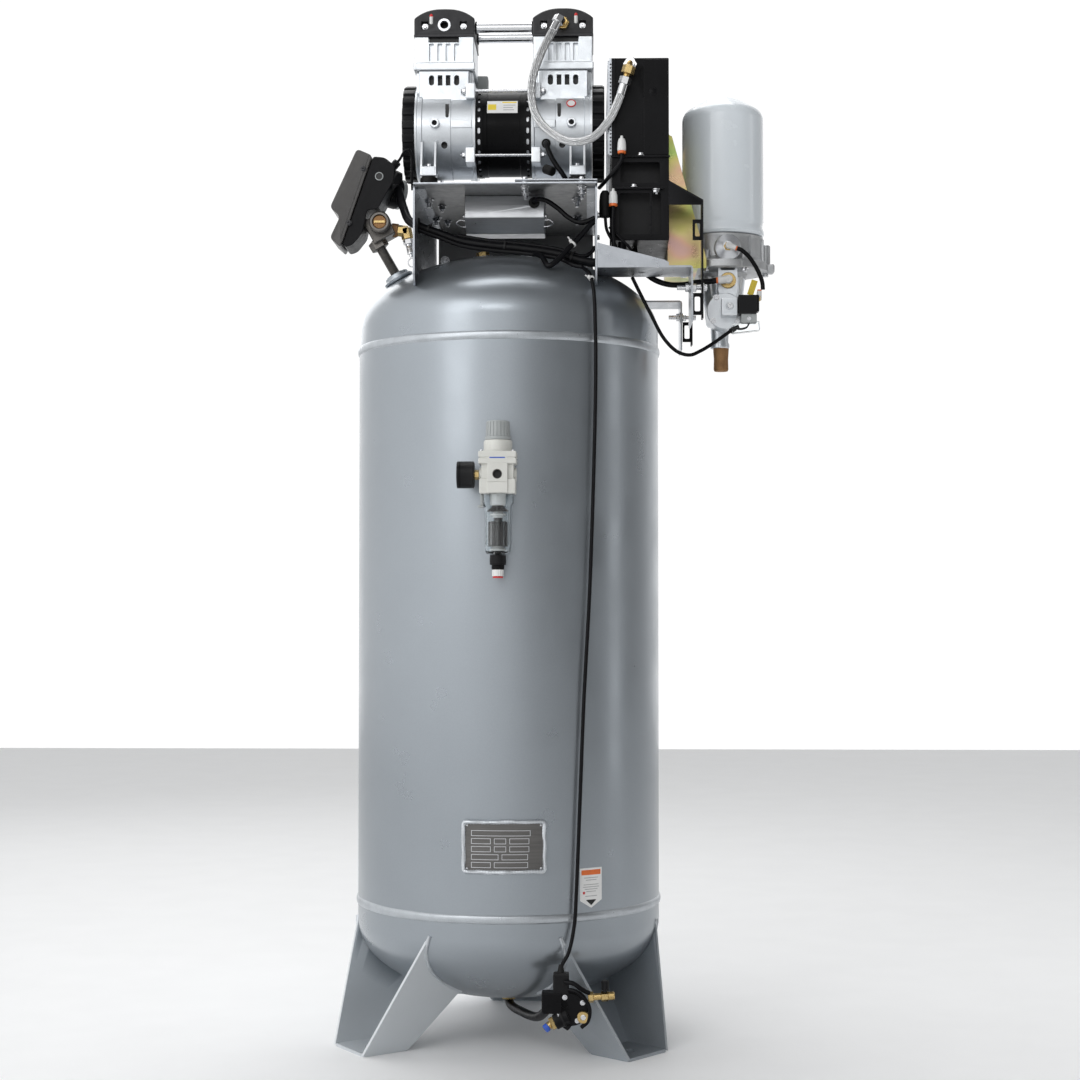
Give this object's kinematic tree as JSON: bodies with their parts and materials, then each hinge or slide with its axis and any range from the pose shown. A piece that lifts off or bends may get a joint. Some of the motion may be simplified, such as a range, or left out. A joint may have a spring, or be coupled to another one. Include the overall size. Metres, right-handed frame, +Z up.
{
  "type": "air compressor",
  "caption": "Upright air compressor: vertical tank on three legs with an oil-free twin pump, aftercooler, desiccant dryer, pressure switch, filter-regulator and automatic drain.",
  "frame": {"origin": "centre of the bounding box footprint, on the floor under the feet", "axes": "+Z up, the regulator and data plate face -Y, the dryer is on the +X side"},
  "size_m": [0.746, 0.6335, 1.721],
  "materials": {
    "silver_paint": "satin grey enamel",
    "cast_aluminium": "as-cast, slightly rough",
    "black_metal": "black powder coat",
    "black_casting": "black painted casting",
    "black_plastic": "moulded, matt",
    "rubber": "matt",
    "plated_steel": "zinc plated sheet",
    "piston_alloy": "machined",
    "bare_aluminium": "bare sheet",
    "chrome": "polished",
    "brass": "machined",
    "yellow_zinc": "yellow passivated zinc",
    "white_enamel": "gloss white enamel",
    "ivory_casting": "light grey painted casting",
    "grey_plastic": "ribbed, matt",
    "dark_plastic": "matt",
    "clear_plastic": "clear moulding",
    "steel_braid": "woven stainless braid",
    "plate_metal": "brushed plate"
  },
  "bodies": {
    "frame": {"tank_shell": "silver_paint", "tank_head_top": "silver_paint", "tank_head_bottom": "silver_paint", "leg_left": "silver_paint", "leg_right": "silver_paint", "leg_rear": "silver_paint", "data_plate": "plate_metal", "regulator_body": "ivory_casting", "filter_bowl": "clear_plastic", "filter_element": "dark_plastic", "gauge_case": "black_metal", "crankcase_left": "cast_aluminium", "crankcase_right": "cast_aluminium", "motor_shell": "black_metal", "fan_guard_left": "black_plastic", "fan_guard_right": "black_plastic", "cylinder_left": "cast_aluminium", "cylinder_right": "cast_aluminium", "head_left": "black_casting", "head_right": "black_casting", "manifold_tube_front": "bare_aluminium", "manifold_tube_rear": "bare_aluminium", "pump_foot_left_front": "rubber", "pump_foot_left_rear": "rubber", "pump_foot_right_front": "rubber", "pump_foot_right_rear": "rubber", "platform_top": "plated_steel", "platform_side_left": "plated_steel", "platform_side_right": "plated_steel", "capacitor_cover": "bare_aluminium", "cooler_shroud": "black_metal", "cooler_core": "bare_aluminium", "cooler_frame": "black_metal", "arm_front": "plated_steel", "arm_rear": "plated_steel", "dryer_bracket": "yellow_zinc", "dryer_cartridge": "white_enamel", "dryer_base": "cast_aluminium", "purge_valve": "cast_aluminium", "solenoid_coil": "black_plastic", "switch_manifold": "black_metal", "switch_base": "black_plastic", "switch_cover": "black_plastic", "safety_valve": "chrome", "auto_drain": "black_casting", "cooler_hose": "steel_braid", "wiring_loom": "rubber", "drain_cable": "rubber", "solenoid_cable": "rubber"},
    "crank": {"crankshaft": "plated_steel", "pump_fan_left": "black_plastic", "pump_fan_right": "black_plastic"},
    "piston_left_body": {"piston_left": "piston_alloy"},
    "piston_right_body": {"piston_right": "piston_alloy"},
    "cooler_fan_body": {"cooler_fan": "black_plastic"},
    "regulator_stem_body": {"regulator_stem": "brass"},
    "regulator_knob_body": {"regulator_knob": "grey_plastic"},
    "bowl_drain_body": {"bowl_drain": "black_plastic"},
    "needle_body": {"gauge_needle": "dark_plastic"},
    "safety_ring_body": {"safety_ring": "chrome"}
  },
  "joints": [
    {"name": "crank_spin", "type": "hinge", "parent": "frame", "child": "crank", "pos_m": [-0.086, 0.0103, 1.52], "axis": [1, 0, 0], "continuous": true},
    {"name": "piston_left_stroke", "type": "slide", "parent": "frame", "child": "piston_left_body", "axis": [0, 0, 1], "range_m": [-0.009, 0.009]},
    {"name": "piston_right_stroke", "type": "slide", "parent": "frame", "child": "piston_right_body", "axis": [0, 0, 1], "range_m": [-0.009, 0.009]},
    {"name": "cooler_fan_spin", "type": "hinge", "parent": "frame", "child": "cooler_fan_body", "pos_m": [0.14, 0.0303, 1.525], "axis": [1, 0, 0], "continuous": true},
    {"name": "regulator_stem_turn", "type": "hinge", "parent": "frame", "child": "regulator_stem_body", "pos_m": [-0.0835, -0.2897, 0.95], "axis": [0, 0, 1], "range_deg": [-720, 720]},
    {"name": "regulator_knob_lift", "type": "slide", "parent": "regulator_stem_body", "child": "regulator_knob_body", "axis": [0, 0, 1], "range_m": [0, 0.003]},
    {"name": "bowl_drain_turn", "type": "hinge", "parent": "frame", "child": "bowl_drain_body", "pos_m": [-0.0835, -0.2897, 0.78], "axis": [0, 0, 1], "range_deg": [0, 90]},
    {"name": "gauge_needle_swing", "type": "hinge", "parent": "frame", "child": "needle_body", "pos_m": [-0.133, -0.2897, 0.918], "axis": [1, 0, 0], "range_deg": [0, 270], "stiffness_Nm_per_rad": 0.002},
    {"name": "safety_ring_pull", "type": "slide", "parent": "frame", "child": "safety_ring_body", "axis": [0.2, 0, -0.9798], "range_m": [0, 0.003], "stiffness_N_per_m": 400}
  ]
}
